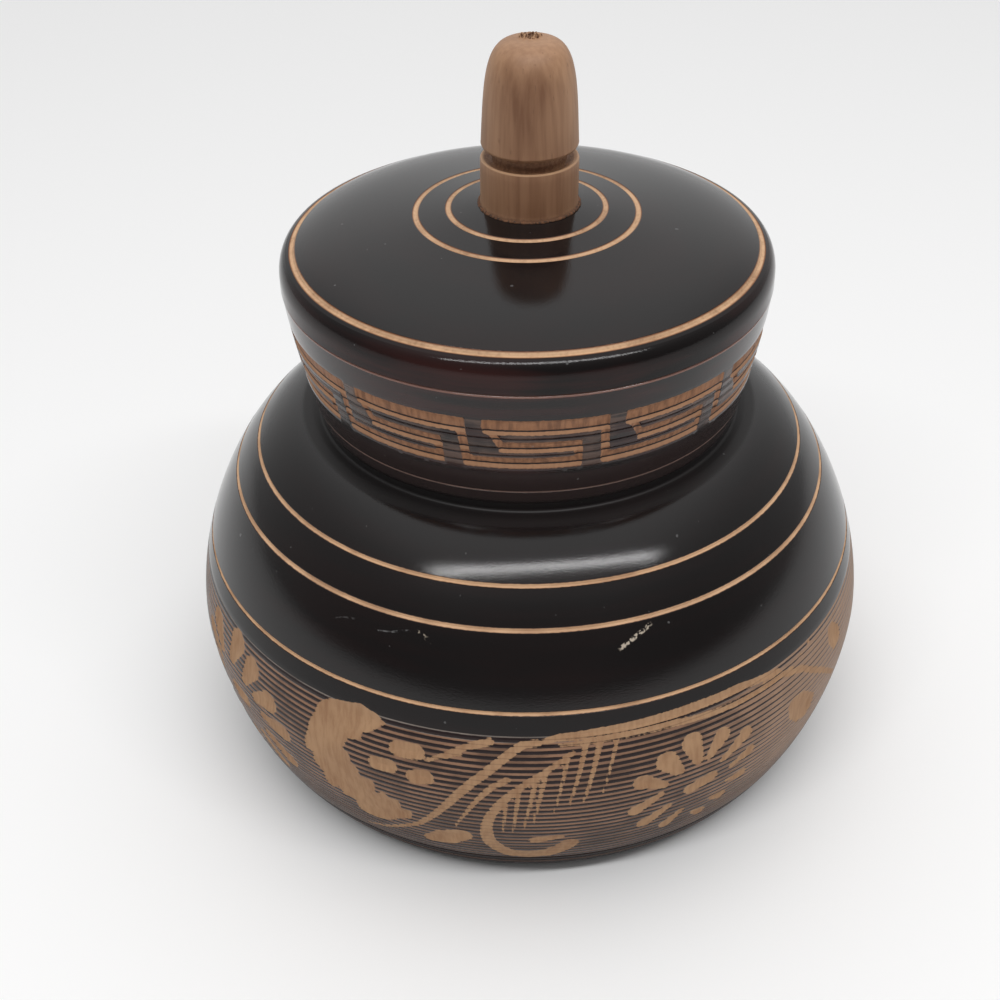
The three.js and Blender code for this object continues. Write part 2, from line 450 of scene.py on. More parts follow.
TORN_EDGE = [
    (1.2, 52.9), (3.5, 53.5), (9.7, 53.8), (12.8, 53.8), (18.2, 54.0), (25.4, 54.2), (33.4, 54.1),
    (38.6, 53.3), (42.5, 52.8),
]
LONG_STEM = [
    (3.5, 52.0), (12.7, 52.2), (20.9, 52.2), (29.8, 51.5), (34.8, 51.3), (40.3, 51.2), (43.5, 51.3),
    (48.7, 49.0), (55.5, 43.4), (62.2, 37.0),
]
CHIPS = [((45.1, 51.2), (45.9, 51.2)), ((48.1, 52.0), (48.9, 52.1)), ((50.9, 53.0), (51.7, 53.2))]
RIGHT_LEAF = [
    (53.1, 40.0), (49.2, 43.7), (46.1, 44.4), (44.5, 43.0), (45.4, 39.4), (48.4, 35.8), (51.7, 34.8),
    (53.3, 36.3),
]
UPPER_LEAF = [(59.9, 51.4), (62.6, 48.5), (63.0, 45.3), (59.9, 44.5), (57.7, 47.6), (57.8, 50.9)]
FLOWER_PETALS = [
    ((-60.0, 44.6), (-56.6, 53.4), 5.4), ((-63.4, 43.8), (-67.4, 51.6), 5.6),
    ((-55.4, 43.2), (-51.4, 50.8), 5.0), ((-52.6, 42.0), (-45.8, 45.4), 4.8),
    ((-50.9, 39.2), (-42.9, 39.2), 4.4), ((-51.1, 35.1), (-44.1, 29.3), 4.4),
    ((-53.6, 32.6), (-49.0, 24.2), 4.0), ((-57.6, 30.7), (-56.6, 22.2), 4.0),
    ((-61.6, 32.2), (-65.0, 24.0), 4.0), ((-63.8, 35.1), (-71.0, 29.6), 4.0),
    ((-64.4, 39.2), (-72.4, 39.4), 4.0), ((-64.0, 41.6), (-71.4, 46.0), 4.0),
]
FLOWER_EYE = ((-59.0, 38.5), (-56.2, 38.6), 4.2)


def carve_group(carving, turned):
    """One round of the front's flowers, feather, leaf and crescent, turned round the jar."""
    for base, tip, width in DAISY_PETALS + FLOWER_PETALS:
        carving.petal(base, tip, width, turned)
    for start, end, width in [DAISY_EYE, FLOWER_EYE] + BERRIES:
        carving.stroke([start, end], [width], turned=turned)
    for shape in (CRESCENT_BODY, RIGHT_LEAF, UPPER_LEAF):
        carving.patch(shape, turned)
    carving.stroke(ALMOND, [3.2, 5.4, 4.0], turned=turned)
    carving.stroke(FEATHER_STEM, FEATHER_WIDTHS, 1.0, turned)
    for start, end, width in FRONDS:
        carving.stroke([start, end], [width, width, 0.5 * width], 1.0, turned)
    carving.stroke(LEAF_LINE, [0.7, 1.1, 1.6, 1.9, 1.9, 1.8, 1.6], 1.0, turned)
    carving.stroke(SIDE_STROKE, [0.6, 0.9, 1.3, 1.4], 1.0, turned)
    carving.stroke(TOP_STROKE, [0.8, 1.3, 1.7], 1.0, turned)
    carving.stroke(TOP_BRANCH, [1.2, 0.7], 1.0, turned)
    carving.stroke(TORN_EDGE, [1.2, 1.7, 1.9, 1.7, 1.2], 1.0, turned)
    carving.stroke(LONG_STEM, [0.8, 1.2, 1.4, 1.5, 1.2], 1.0, turned)
    for start, end in CHIPS:
        carving.stroke([start, end], [0.7], turned=turned)


def carve_fret(carving):
    """The running fret round the neck: each unit from the upper left corner of its top bar."""
    corner = carving.outline
    for unit in range(-5, 6):
        angle = -10.7 + FRET_PITCH * unit
        carving.bar(-0.2, 27.6, 89.0, 92.1, angle)
        carving.bar(3.2, 21.7, 85.1, 87.5, angle)
        carving.bar(20.1, 21.9, 81.6, 86.4, angle)
        carving.bar(-4.0, 21.6, 81.5, 84.0, angle)
        drop = [(angle + 26.5, 91.0), (angle + 27.4, 82.2)]
        slant = [(angle + 0.4, 90.6), (angle + 2.1, 88.9), (angle + 3.9, 86.4)]
        for points, width in [(drop, 1.55), (slant, 1.3)]:
            placed = [(a, corner.where(1, z, 95)) for a, z in points]
            carving.stroke(placed, [width])


def make_jar():
    outline = jar_outline()
    neck_start = outline.where(1, WAIST_HEIGHT, 90)
    crest = outline.where(1, SHOULDER_HEIGHT - 0.02, 60)
    fret = [outline.where(1, height, neck_start) for height in FRET_ROWS]
    rings = [(outline.where(1, height, 50, 90), half) for height, half in SHOULDER_RINGS]
    rings += [(outline.where(1, height, neck_start), half) for height, half in [NECK_RING]]
    low_ring, low_half = rings[len(SHOULDER_RINGS) - 1]
    band = list(np.arange(BAND_FOOT, FINE_TOP + 0.1, COARSE_ROW)) + [low_ring - low_half]
    rows = spread(outline.reach[0], BAND_FOOT, 1.6) + band + spread(low_ring + 1.2, crest, 1.5)
    rows += spread(crest, neck_start, 0.3)
    rows += spread(neck_start, fret[0], 1.5) + fret + spread(fret[-1] + 1.2, outline.end(), 1.1)
    rows = ring_rows(rows, rings)
    outside = [outline.at(reach, depth) for reach, depth in rows.items()] + [outline.at(outline.end())]
    belly = np.vstack([quarter(FOOT_RADIUS, 0, FOOT_FULLNESS, 14),
                       quarter(SHOULDER_RADIUS, SHOULDER_HEIGHT, SHOULDER_FULLNESS, 18)[-2::-1]])
    along = np.gradient(belly, axis=0)
    along /= np.hypot(*along.T)[:, None]
    cavity = belly + WALL * np.column_stack([-along[:, 1], along[:, 0]])
    cavity = cavity[(cavity[:, 0] > BORE_RADIUS + 0.3) & (cavity[:, 1] > FLOOR_THICKNESS + 0.2)][::-1]
    hollow = FOOT_RADIUS - FOOT_RING_WIDTH
    underside = [(0, FOOT_HOLLOW_DEPTH), (hollow - 2.4, FOOT_HOLLOW_DEPTH), (hollow - FOOT_HOLLOW_DEPTH, 0.9),
                 (hollow - 0.35, 0.2), (hollow + 0.4, 0), (FOOT_RADIUS - 3, 0)]
    inside = [(MOUTH_RADIUS - EDGE_BREAK, MOUTH_HEIGHT), (BORE_RADIUS + 1.4, MOUTH_HEIGHT),
              (BORE_RADIUS + MOUTH_CHAMFER, MOUTH_HEIGHT - 0.12), (BORE_RADIUS + 0.25, MOUTH_HEIGHT - 0.5),
              (BORE_RADIUS, MOUTH_HEIGHT - 1.3)]
    inside += [(BORE_RADIUS, height) for height in np.linspace(MOUTH_HEIGHT - 6, cavity[0, 1] + 0.5, 6)]
    inside += [(BORE_RADIUS + 0.25, cavity[0, 1] + 0.05)] + [tuple(point) for point in cavity]
    inside += [(cavity[-1, 0] - 1.2, FLOOR_THICKNESS), (30, FLOOR_THICKNESS), (15, FLOOR_THICKNESS),
               (0, FLOOR_THICKNESS)]
    jar = turn("jar", underside + outside + inside, TURN_STEPS)

    band_low = float(outline.at(BAND_FOOT)[1])
    band_high = float(outline.at(band[-1])[1])
    refine(jar, band_low, band_high, outline)
    refine(jar, FRET_ROWS[0], FRET_ROWS[-1], outline)

    points = corners(jar)
    radius = np.hypot(points[:, 0], points[:, 1])
    height = points[:, 2]
    angle = np.degrees(np.arctan2(points[:, 0], -points[:, 1]))
    slack = 0.01
    outer_points = outline.is_outer(radius, height)
    on_belly = (height > band_low - slack) & (height < band_high + slack) & outer_points
    on_neck = (height > FRET_ROWS[0] - slack) & (height < FRET_ROWS[-1] + slack) & outer_points
    places = np.array(list(rows) + [outline.end()])
    reach = np.full(len(points), INSIDE)
    scribed = np.zeros(len(points))
    depths = np.array(list(rows.values()) + [0.0])
    others = ~on_belly & ~on_neck
    nearest, outer = nearest_row(radius[others], height[others], outside)
    reach[others] = np.where(outer, places[nearest], INSIDE)
    scribed[others] = np.where(outer, depths[nearest] / RING_DEPTH, 0)
    fine_row = COARSE_ROW / (CUTS + 1)
    reach[on_belly] = np.interp(height[on_belly], outline.at(np.array(band))[1], band)
    on_rows = on_belly & (reach < FINE_TOP + 0.1)
    reach[on_rows] = BAND_FOOT + np.round((reach[on_rows] - BAND_FOOT) / fine_row) * fine_row
    reach[on_neck] = np.interp(height[on_neck], FRET_ROWS, fret)

    fine = on_belly | on_neck
    step = 360 / TURN_STEPS / (CUTS + 1)
    angle[fine] = np.round(angle[fine] / step) * step
    carving = Carving(angle[on_belly], reach[on_belly], outline)
    for turned in (0, 180):
        carve_group(carving, turned)
    fretwork = Carving(angle[on_neck], reach[on_neck], outline)
    carve_fret(fretwork)

    carved = np.full(len(points), NOT_CARVED)
    carved[on_belly] = carving.distance
    carved[on_neck] = fretwork.distance
    shallow = np.zeros(len(points))
    shallow[on_belly] = carving.shallow

    chance = np.random.default_rng(7)
    depth = np.zeros(len(points))
    row_number = np.round((reach - BAND_FOOT) / fine_row)
    striped = on_belly & (reach < BAND_TOP + 0.1) & (reach > BAND_FOOT + 0.1)
    row_depth = STRIPE_DEPTH * chance.uniform(0.7, 1.15, 200)
    line = striped & (row_number % 2 == 0)
    cut_in = -carved
    stripe_left = 1 - eased(cut_in, -0.1, 0.35) * (1 - 0.55 * shallow)
    depth[line] = row_depth[row_number[line].astype(int)] * stripe_left[line]
    # Blender may number the points in another order each time, so the draws follow their places
    spoke = np.round(angle / step).astype(int) % round(360 / step)
    in_order = np.flatnonzero(fine)
    in_order = in_order[np.lexsort((reach[in_order], spoke[in_order]))]
    gouge = np.zeros(len(points))
    gouge[in_order] = chance.normal(0, 1, len(in_order))
    hollow_cut = 0.22 * eased(cut_in, -0.05, 0.45) + 0.3 * eased(cut_in, 0.2, 2.4)
    hollow_cut += 0.022 * gouge * eased(cut_in, 0, 0.5)
    depth[on_belly] += (hollow_cut * (1 - 0.45 * shallow))[on_belly]
    depth[on_neck] += (FRET_DEPTH * eased(cut_in, -0.1, 0.3) + 0.02 * gouge * eased(cut_in, 0, 0.5))[on_neck]
    for place in FRET_LINES:
        on_line = on_neck & (np.abs(reach - outline.where(1, place, neck_start)) < 0.05)
        depth[on_line] += FRET_LINE_DEPTH
    edge = np.minimum(np.abs(height - band_low), np.abs(height - band_high))
    depth[on_belly & (edge < 0.05)] = 0
    new_radius, new_height = outline.at(reach[fine], depth[fine])
    points[fine, 0] = new_radius * np.sin(np.radians(angle[fine]))
    points[fine, 1] = -new_radius * np.cos(np.radians(angle[fine]))
    points[fine, 2] = new_height
    move_corners(jar, points)
    keep_attribute(jar, "reach", reach)
    keep_attribute(jar, "carved", carved)
    keep_attribute(jar, "shallow", shallow)
    keep_attribute(jar, "scribed", scribed)
    smooth(jar, 12)

    face_radius, face_height = face_middles(jar)
    bore = (face_radius < BORE_RADIUS + 0.6) | (face_radius < np.interp(
        face_height, cavity[::-1, 1], cavity[::-1, 0]) + 2) & (face_height < cavity[0, 1] + 0.5)
    bore &= face_height > FLOOR_THICKNESS - 1
    under = (face_height < FOOT_HOLLOW_DEPTH + 0.3) & (face_radius < FOOT_RADIUS - 0.5)
    outer = face_radius > FOOT_RADIUS - 0.5
    striped = (face_height < SHOULDER_RINGS[-1][0]) & outer
    foot = (face_height < float(outline.at(BLACK_FOOT)[1])) & outer
    slots = np.select([bore | under, foot, striped], [1, 3, 2])
    jar.data.polygons.foreach_set("material_index", slots.astype(np.int32))
    return jar


def make_lid():
    outline = lid_outline()
    foot = MOUTH_HEIGHT + LID_EDGE_HEIGHT
    corner = outline.where(1, foot, 0)
    top = outline.where(0, LID_TOP_RADIUS, corner)
    collar = outline.where(0, COLLAR_RADIUS, top)
    rows = spread(0, corner, 0.8) + spread(corner, top, 0.42) + spread(top, collar, 1.1)
    rows += spread(collar, outline.end(), 1.5)
    rings = [(outline.where(0, radius, top - 0.6), half) for radius, half in LID_RINGS]
    rows = ring_rows(rows, rings)
    outside = [outline.at(reach, depth) for reach, depth in rows.items()] + [outline.at(outline.end())]
    plug = BORE_RADIUS - PLUG_CLEARANCE
    plug_foot = MOUTH_HEIGHT - PLUG_DEPTH
    hollow = plug - PLUG_WALL
    ceiling = plug_foot + LID_HOLLOW_DEPTH
    hole_floor = KNOB_SEAT - PEG_LENGTH - GLUE_GAP
    hole = PEG_RADIUS + GLUE_GAP
    under = [(0, ceiling), (hollow - 1.2, ceiling), (hollow - 0.3, ceiling - 0.3), (hollow, ceiling - 1.2),
             (hollow, plug_foot + 0.5), (hollow + 0.5, plug_foot), (plug - 1.2, plug_foot),
             (plug - 0.35, plug_foot + 0.2), (plug, plug_foot + 1), (plug, MOUTH_HEIGHT),
             (LID_RADIUS - 0.5, MOUTH_HEIGHT), (LID_RADIUS - 0.12, MOUTH_HEIGHT + 0.12)]
    lid = turn("lid_lacquered", under + outside + [(hole, hole_floor), (0, hole_floor)], LID_STEPS)
    points = corners(lid)
    radius = np.hypot(points[:, 0], points[:, 1])
    depths = np.array(list(rows.values()) + [0.0])
    nearest, outer = nearest_row(radius, points[:, 2], outside)
    keep_attribute(lid, "scribed", np.where(outer, depths[nearest] / RING_DEPTH, 0))
    smooth(lid, 12)
    face_radius, face_height = face_middles(lid)
    bare = face_height < MOUTH_HEIGHT - 0.05
    bare |= (face_height < ceiling + 0.1) & (face_radius < hollow)
    bare |= (face_radius < COLLAR_RADIUS - 1) & (face_height > MOUTH_HEIGHT + 4)
    edge = (face_radius > LID_RINGS[-1][0]) & ~bare
    lid.data.polygons.foreach_set("material_index", (bare + 2 * edge).astype(np.int32))
    return lid


def make_knob():
    top = KNOB_SEAT + COLLAR_HEIGHT
    head = top + NECK_GROOVE_HEIGHT
    profile = [(0, KNOB_SEAT - PEG_LENGTH), (PEG_RADIUS - 0.4, KNOB_SEAT - PEG_LENGTH),
               (PEG_RADIUS, KNOB_SEAT - PEG_LENGTH + 0.4), (PEG_RADIUS, KNOB_SEAT),
               (COLLAR_RADIUS, KNOB_SEAT), (COLLAR_RADIUS + 0.15, KNOB_SEAT + 0.15),
               (COLLAR_RADIUS + 0.03, KNOB_SEAT + 0.6)]
    profile += [(COLLAR_RADIUS, height) for height in np.linspace(KNOB_SEAT + 1.2, top - 0.3, 6)]
    groove = NECK_GROOVE_RADIUS
    profile += [(COLLAR_RADIUS - 0.1, top - 0.08), (COLLAR_RADIUS - 0.35, top),
                *((radius, top - depth) for radius, depth in COLLAR_DISH), (groove, top - 0.45),
                (groove - 0.1, top), (groove - 0.1, top + 0.6), (groove, top + 1.2),
                (groove + 0.2, head - 0.15)]
    profile += [tuple(point) for point in arc(
        HEAD_RADIUS - HEAD_ROUND, head + HEAD_ROUND, HEAD_ROUND, HEAD_ROUND, -90, -8, 8)]
    low = HEAD_ROUND / HEAD_HEIGHT
    shares = list(np.linspace(low, 0.42, 8)) + [math.sin(angle) ** (2 / HEAD_FULLNESS)
                                                for angle in np.radians(np.linspace(10, 90, 26))]
    for share in shares:
        radius = (HEAD_RADIUS - HEAD_TAPER * share) * (1 - share ** HEAD_FULLNESS) ** (1 / HEAD_FULLNESS)
        profile.append((radius, head + HEAD_HEIGHT * share))
    profile[-1] = (0, head + HEAD_HEIGHT)
    knob = turn("knob_turned", profile, KNOB_STEPS)
    points = corners(knob)
    above = points[:, 2] >= KNOB_SEAT - 0.01
    above &= np.hypot(points[:, 0], points[:, 1]) > PEG_RADIUS + 0.1
    above |= points[:, 2] > KNOB_SEAT + 0.1
    points[above, 0] += KNOB_SHIFT + KNOB_LEAN * (points[above, 2] - KNOB_SEAT)
    move_corners(knob, points)
    smooth(knob, 32)
    return knob


def apply_place(piece):
    """Moves a piece's own place and turn into its points, so that it sits at the origin."""
    pick(piece)
    bpy.ops.object.transform_apply(location=True, rotation=True, scale=True)


def make_torn_fibres():
    """Slivers left standing in the middle of the knob's top, where it was broken off the lathe."""
    chance = np.random.default_rng(5)
    top = KNOB_SEAT + COLLAR_HEIGHT + NECK_GROOVE_HEIGHT + HEAD_HEIGHT
    middle = KNOB_SHIFT + KNOB_LEAN * (top - KNOB_SEAT)
    slivers = []
    for i in range(FIBRE_COUNT):
        angle = i * FIBRE_TURN
        out = FIBRE_SPREAD * math.sqrt(i / FIBRE_COUNT)
        tall = chance.uniform(0.6, 0.95) * (1 - 0.2 * i / FIBRE_COUNT)
        lean = chance.uniform(-0.35, 0.35, 2)
        place = (middle + out * math.cos(angle), 1.2 + 0.8 * out * math.sin(angle), top - 0.3 + tall / 2)
        bpy.ops.object.select_all(action="DESELECT")
        bpy.ops.mesh.primitive_cone_add(vertices=6, radius1=0.34 * MM, radius2=0.14 * MM, depth=tall * MM,
                                        location=Vector(place) * MM, rotation=(lean[0], lean[1], angle))
        sliver = bpy.context.object
        apply_place(sliver)
        slivers.append(sliver)
    for sliver in slivers:
        sliver.select_set(True)
    bpy.context.view_layer.objects.active = slivers[0]
    bpy.ops.object.join()
    fibres = slivers[0]
    fibres.name = "torn_fibres"
    fibres.data.name = "torn_fibres"
    smooth(fibres, 25)
    return fibres


def make_glue_bead():
    """The uneven bead of dried glue and wood dust round the knob's foot."""
    chance = np.random.default_rng(11)
    bpy.ops.object.select_all(action="DESELECT")
    bpy.ops.mesh.primitive_torus_add(major_radius=BEAD_RADIUS * MM, minor_radius=BEAD_THICKNESS * MM,
                                     major_segments=BEAD_STEPS, minor_segments=10,
                                     location=(KNOB_SHIFT * MM, 0, (KNOB_SEAT + BEAD_LIFT) * MM))
    bead = bpy.context.object
    bead.name = "glue_bead"
    bead.data.name = "glue_bead"
    apply_place(bead)
    points = corners(bead)
    away = points - np.array([KNOB_SHIFT, 0, 0])
    angle = np.arctan2(away[:, 1], away[:, 0])
    spoke = np.round(angle / math.tau * BEAD_STEPS).astype(int) % BEAD_STEPS
    core = np.column_stack([KNOB_SHIFT + BEAD_RADIUS * np.cos(angle), BEAD_RADIUS * np.sin(angle),
                            np.full(len(angle), KNOB_SEAT + BEAD_LIFT)])
    swell = 0.75 + 0.5 * np.abs(np.cos(np.arange(BEAD_STEPS) / BEAD_STEPS * math.tau)) ** 3
    swell = swell + chance.normal(0, 0.16, BEAD_STEPS)
    rough = np.clip(swell[spoke] + chance.normal(0, 0.08, len(points)), 0.45, 1.6)
    move_corners(bead, core + (points - core) * rough[:, None])
    smooth(bead, 40)
    return bead


class Level:
    """A number that changes over a surface, with the arithmetic that the finishes use."""

    def __init__(self, finish, socket):
        self.finish = finish
        self.socket = socket

    def __add__(self, other):
        return self.finish.calculate("ADD", self, other)

    __radd__ = __add__

    def __sub__(self, other):
        return self.finish.calculate("SUBTRACT", self, other)

    def __rsub__(self, other):
        return self.finish.calculate("SUBTRACT", other, self)

    def __mul__(self, other):
        return self.finish.calculate("MULTIPLY", self, other)

    __rmul__ = __mul__

    def __truediv__(self, other):
        return self.finish.calculate("DIVIDE", self, other)


class Nodes:
    """A node tree and the few ways in which its nodes are made."""

    def __init__(self, tree):
        self.tree = tree

    def node(self, kind, settings, sockets):
        """Adds a node, sets it, and fills or links its sockets, which are named by identifier."""
        node = self.tree.nodes.new(kind)
        for name, value in settings.items():
            setattr(node, name, value)
        for socket in node.inputs:
            if socket.identifier in sockets:
                self.fill(socket, sockets[socket.identifier])
        return node

    def fill(self, socket, value):
        if isinstance(value, Level):
            value = value.socket
        if isinstance(value, bpy.types.NodeSocket):
            self.tree.links.new(value, socket)
        else:
            socket.default_value = value

    def calculate(self, operation, first, second=0.0, third=0.0):
        node = self.node("ShaderNodeMath", {"operation": operation},
                         {"Value": first, "Value_001": second, "Value_002": third})
        return Level(self, node.outputs[0])

    def ramp(self, value, low, high):
        """0 below one value, 1 above the other, eased between them."""
        node = self.node("ShaderNodeMapRange", {"interpolation_type": "SMOOTHSTEP"},
                         {"Value": value, "From Min": low, "From Max": high})
        return Level(self, node.outputs["Result"])

    def blend(self, share, first, second):
        node = self.node("ShaderNodeMix", {"data_type": "RGBA"},
                         {"Factor_Float": share, "A_Color": first, "B_Color": second})
        return next(socket for socket in node.outputs if socket.identifier == "Result_Color")


class Finish(Nodes):
    """A procedural material, with the patterns that its colours and relief are made from."""

    def __init__(self, name, roughness):
        self.material = bpy.data.materials.new(name)
        self.material.use_nodes = True
        super().__init__(self.material.node_tree)
        self.shader = self.tree.nodes["Principled BSDF"]
        self.shader.inputs["Roughness"].default_value = roughness

    def place(self):
        return self.node("ShaderNodeTexCoord", {}, {}).outputs["Object"]

    def stretched(self, scale):
        """Object coordinates, multiplied along each axis."""
        return self.node("ShaderNodeMapping", {}, {"Vector": self.place(), "Scale": scale}).outputs["Vector"]

    def noise(self, scale, detail=2.0, roughness=0.5):
        """Noise from 0 to 1, at so many grains a metre along each axis."""
        node = self.node("ShaderNodeTexNoise", {},
                         {"Vector": self.stretched(scale), "Scale": 1.0, "Detail": detail,
                          "Roughness": roughness})
        return Level(self, node.outputs["Fac"])

    def attribute(self, name):
        node = self.node("ShaderNodeAttribute", {"attribute_name": name}, {})
        return Level(self, node.outputs["Fac"])

    def metres(self, axis):
        """Where the surface is along one of the object's axes, in metres."""
        node = self.node("ShaderNodeSeparateXYZ", {}, {"Vector": self.place()})
        return Level(self, node.outputs[axis])

    def height_of(self):
        """Height above the foot, in millimetres."""
        return self.metres("Z") * 1000

    def radius_of(self):
        """Distance from the knob's own middle, in millimetres."""
        across = self.metres("X") * 1000 - KNOB_SHIFT
        along = self.metres("Y") * 1000
        return self.calculate("SQRT", across * across + along * along)

    def angle_of(self):
        """Angle to the right of the front, in degrees."""
        return self.calculate("ARCTAN2", self.metres("X"), 0 - self.metres("Y")) * math.degrees(1)

    def bump(self, height):
        """Feeds a height in millimetres to the shader's normal."""
        node = self.node("ShaderNodeBump", {}, {"Strength": 1.0, "Distance": MM, "Height": height})
        self.fill(self.shader.inputs["Normal"], node.outputs["Normal"])

    def give(self, name, value):
        self.fill(self.shader.inputs[name], value)


def srgb(red, green, blue):
    """A colour as the eye reads it, from 0 to 255, as light."""
    def light(value):
        value /= 255
        return value / 12.92 if value <= 0.04045 else ((value + 0.055) / 1.055) ** 2.4
    return (light(red), light(green), light(blue), 1.0)


GLOSS_IOR = 1.42
BAND_IOR = 1.3
FOOT_IOR = 1.05

BLACK = srgb(23, 20, 20)
MAROON = srgb(56, 30, 28)
NECK_BROWN = srgb(50, 41, 40)
STRIPE_DARK = srgb(34, 22, 22)
STRIPE_PALE = srgb(146, 111, 88)
STRIPE_FADED = srgb(156, 126, 104)
STRIPE_GREY = srgb(132, 122, 114)
RING_WOOD = srgb(206, 168, 132)
RING_EDGE = srgb(120, 74, 44)
CARVED_WOOD = srgb(176, 140, 107)
CARVED_DARK = srgb(140, 102, 74)
FRET_WOOD = srgb(154, 110, 80)
FRET_DARK = srgb(110, 76, 56)
FRET_PALE = srgb(170, 128, 96)
FRET_RECESS = srgb(100, 80, 70)
RIM_WOOD = srgb(128, 90, 78)
NECK_RING_WOOD = srgb(148, 120, 108)
KNOB_PALE = srgb(174, 134, 102)
KNOB_DARK = srgb(116, 78, 52)
KNOB_EDGE = srgb(188, 150, 116)
PORE = srgb(96, 64, 44)
GLUE = srgb(66, 46, 34)
SCRATCH = srgb(196, 182, 164)
DUST = srgb(140, 140, 140)
FOOT_BROWN = srgb(112, 88, 76)
FLOOR = srgb(248, 248, 248)


def lacquer_colour(finish, maroon):
    """Black lacquer with maroon streaks that follow the turning."""
    streaks = finish.noise((30, 30, 420), 3.0)
    patches = finish.noise((45, 45, 60), 2.0)
    reddish = finish.ramp(streaks * 0.6 + patches * 0.4, 0.42, 0.66) * maroon
    return finish.blend(reddish, BLACK, MAROON)


def lacquer_relief(finish):
    """Orange peel and the faint waviness of a lathe finish."""
    peel = finish.noise((4200, 4200, 4200), 1.0)
    waves = finish.noise((12, 12, 160), 1.0)
    return peel * 0.012 + waves * 0.02


def mark(finish, angle, reach, start, end, width, girth):
    """1 along a short straight mark between two points of (angle, reach), 0 elsewhere."""
    run = (end[0] - start[0]) * girth
    rise = end[1] - start[1]
    length = math.hypot(run, rise)
    across = (angle - start[0]) * girth
    along = reach - start[1]
    forward = across * (run / length) + along * (rise / length)
    aside = finish.calculate("ABSOLUTE", across * (rise / length) - along * (run / length))
    inside = finish.ramp(forward, 0, 0.8) * (1 - finish.ramp(forward, length - 0.8, length))
    return inside * (1 - finish.ramp(aside, 0.25 * width, 0.5 * width))


